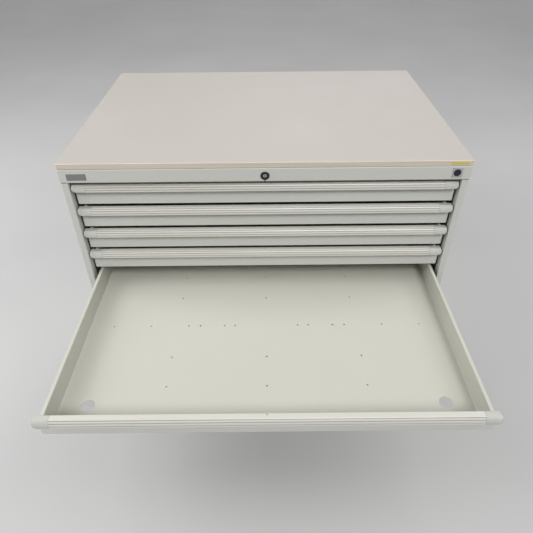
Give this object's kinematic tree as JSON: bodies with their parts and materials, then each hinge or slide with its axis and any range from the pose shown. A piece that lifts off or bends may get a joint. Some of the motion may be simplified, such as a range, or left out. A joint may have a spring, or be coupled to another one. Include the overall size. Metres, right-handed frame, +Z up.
{
  "type": "flat file cabinet",
  "caption": "Low steel plan chest with a laminate worktop, stacked wide shallow drawers on side runners, full-width grip profiles with moulded end caps, a key lock and a recessed plinth.",
  "frame": {"origin": "middle of the underside of the plinth's centre rail, on the floor, midway between the sides, the front plane and the back plane of the cabinet", "axes": "+X to the right of a person facing the drawers, +Y towards the back, +Z up"},
  "size_m": [1.1, 1.307, 0.75],
  "materials": {
    "laminate": "matt grey-beige laminate on board",
    "body_enamel": "light grey stove enamel",
    "tray_enamel": "pale grey stove enamel",
    "handle_enamel": "off-white powder coat",
    "cap_plastic": "fine-grained moulding",
    "zinc_steel": "zinc plated",
    "lock_nickel": "satin nickel",
    "plinth_enamel": "dark grey enamel"
  },
  "bodies": {
    "cabinet": {"worktop": "laminate", "left_side_panel": "body_enamel", "right_side_panel": "body_enamel", "header_rail": "body_enamel", "bottom_panel": "body_enamel", "back_panel": "body_enamel", "plinth": "plinth_enamel", "left_runner_rack": "zinc_steel", "right_runner_rack": "zinc_steel", "lock_housing": "lock_nickel"},
    "drawer_1": {"drawer_1_tray": "tray_enamel", "drawer_1_handle": "handle_enamel", "drawer_1_cap_left": "cap_plastic", "drawer_1_cap_right": "cap_plastic", "drawer_1_runner_left": "zinc_steel", "drawer_1_runner_right": "zinc_steel"},
    "drawer_2": {"drawer_2_tray": "tray_enamel", "drawer_2_handle": "handle_enamel", "drawer_2_cap_left": "cap_plastic", "drawer_2_cap_right": "cap_plastic", "drawer_2_runner_left": "zinc_steel", "drawer_2_runner_right": "zinc_steel"},
    "drawer_3": {"drawer_3_tray": "tray_enamel", "drawer_3_handle": "handle_enamel", "drawer_3_cap_left": "cap_plastic", "drawer_3_cap_right": "cap_plastic", "drawer_3_runner_left": "zinc_steel", "drawer_3_runner_right": "zinc_steel"},
    "drawer_4": {"drawer_4_tray": "tray_enamel", "drawer_4_handle": "handle_enamel", "drawer_4_cap_left": "cap_plastic", "drawer_4_cap_right": "cap_plastic", "drawer_4_runner_left": "zinc_steel", "drawer_4_runner_right": "zinc_steel"},
    "drawer_5": {"drawer_5_tray": "tray_enamel", "drawer_5_handle": "handle_enamel", "drawer_5_cap_left": "cap_plastic", "drawer_5_cap_right": "cap_plastic", "drawer_5_runner_left": "zinc_steel", "drawer_5_runner_right": "zinc_steel"},
    "drawer_6": {"drawer_6_tray": "tray_enamel", "drawer_6_handle": "handle_enamel", "drawer_6_cap_left": "cap_plastic", "drawer_6_cap_right": "cap_plastic", "drawer_6_runner_left": "zinc_steel", "drawer_6_runner_right": "zinc_steel"},
    "drawer_7": {"drawer_7_tray": "tray_enamel", "drawer_7_handle": "handle_enamel", "drawer_7_cap_left": "cap_plastic", "drawer_7_cap_right": "cap_plastic", "drawer_7_runner_left": "zinc_steel", "drawer_7_runner_right": "zinc_steel"},
    "drawer_8": {"drawer_8_tray": "tray_enamel", "drawer_8_handle": "handle_enamel", "drawer_8_cap_left": "cap_plastic", "drawer_8_cap_right": "cap_plastic", "drawer_8_runner_left": "zinc_steel", "drawer_8_runner_right": "zinc_steel"},
    "lock_plug": {"lock_plug": "lock_nickel"},
    "lock_bar": {"lock_bar": "zinc_steel"}
  },
  "joints": [
    {"name": "drawer_1_slide", "type": "slide", "parent": "cabinet", "child": "drawer_1", "axis": [0, -1, 0], "range_m": [0, 0.536]},
    {"name": "drawer_2_slide", "type": "slide", "parent": "cabinet", "child": "drawer_2", "axis": [0, -1, 0], "range_m": [0, 0.536]},
    {"name": "drawer_3_slide", "type": "slide", "parent": "cabinet", "child": "drawer_3", "axis": [0, -1, 0], "range_m": [0, 0.536]},
    {"name": "drawer_4_slide", "type": "slide", "parent": "cabinet", "child": "drawer_4", "axis": [0, -1, 0], "range_m": [0, 0.536]},
    {"name": "drawer_5_slide", "type": "slide", "parent": "cabinet", "child": "drawer_5", "axis": [0, -1, 0], "range_m": [-0.536, 0]},
    {"name": "drawer_6_slide", "type": "slide", "parent": "cabinet", "child": "drawer_6", "axis": [0, -1, 0], "range_m": [0, 0.536]},
    {"name": "drawer_7_slide", "type": "slide", "parent": "cabinet", "child": "drawer_7", "axis": [0, -1, 0], "range_m": [0, 0.536]},
    {"name": "drawer_8_slide", "type": "slide", "parent": "cabinet", "child": "drawer_8", "axis": [0, -1, 0], "range_m": [0, 0.536]},
    {"name": "lock_turn", "type": "hinge", "parent": "cabinet", "child": "lock_plug", "pos_m": [0, -0.387, 0.7111], "axis": [0, 1, 0], "range_deg": [0, 90]},
    {"name": "latch_slide", "type": "slide", "parent": "cabinet", "child": "lock_bar", "axis": [0, 0, -1], "range_m": [0, 0.0054]}
  ],
  "couplings": [
    {"joint": "lock_turn", "follows": "latch_slide", "rad_per_m": 290.8}
  ]
}
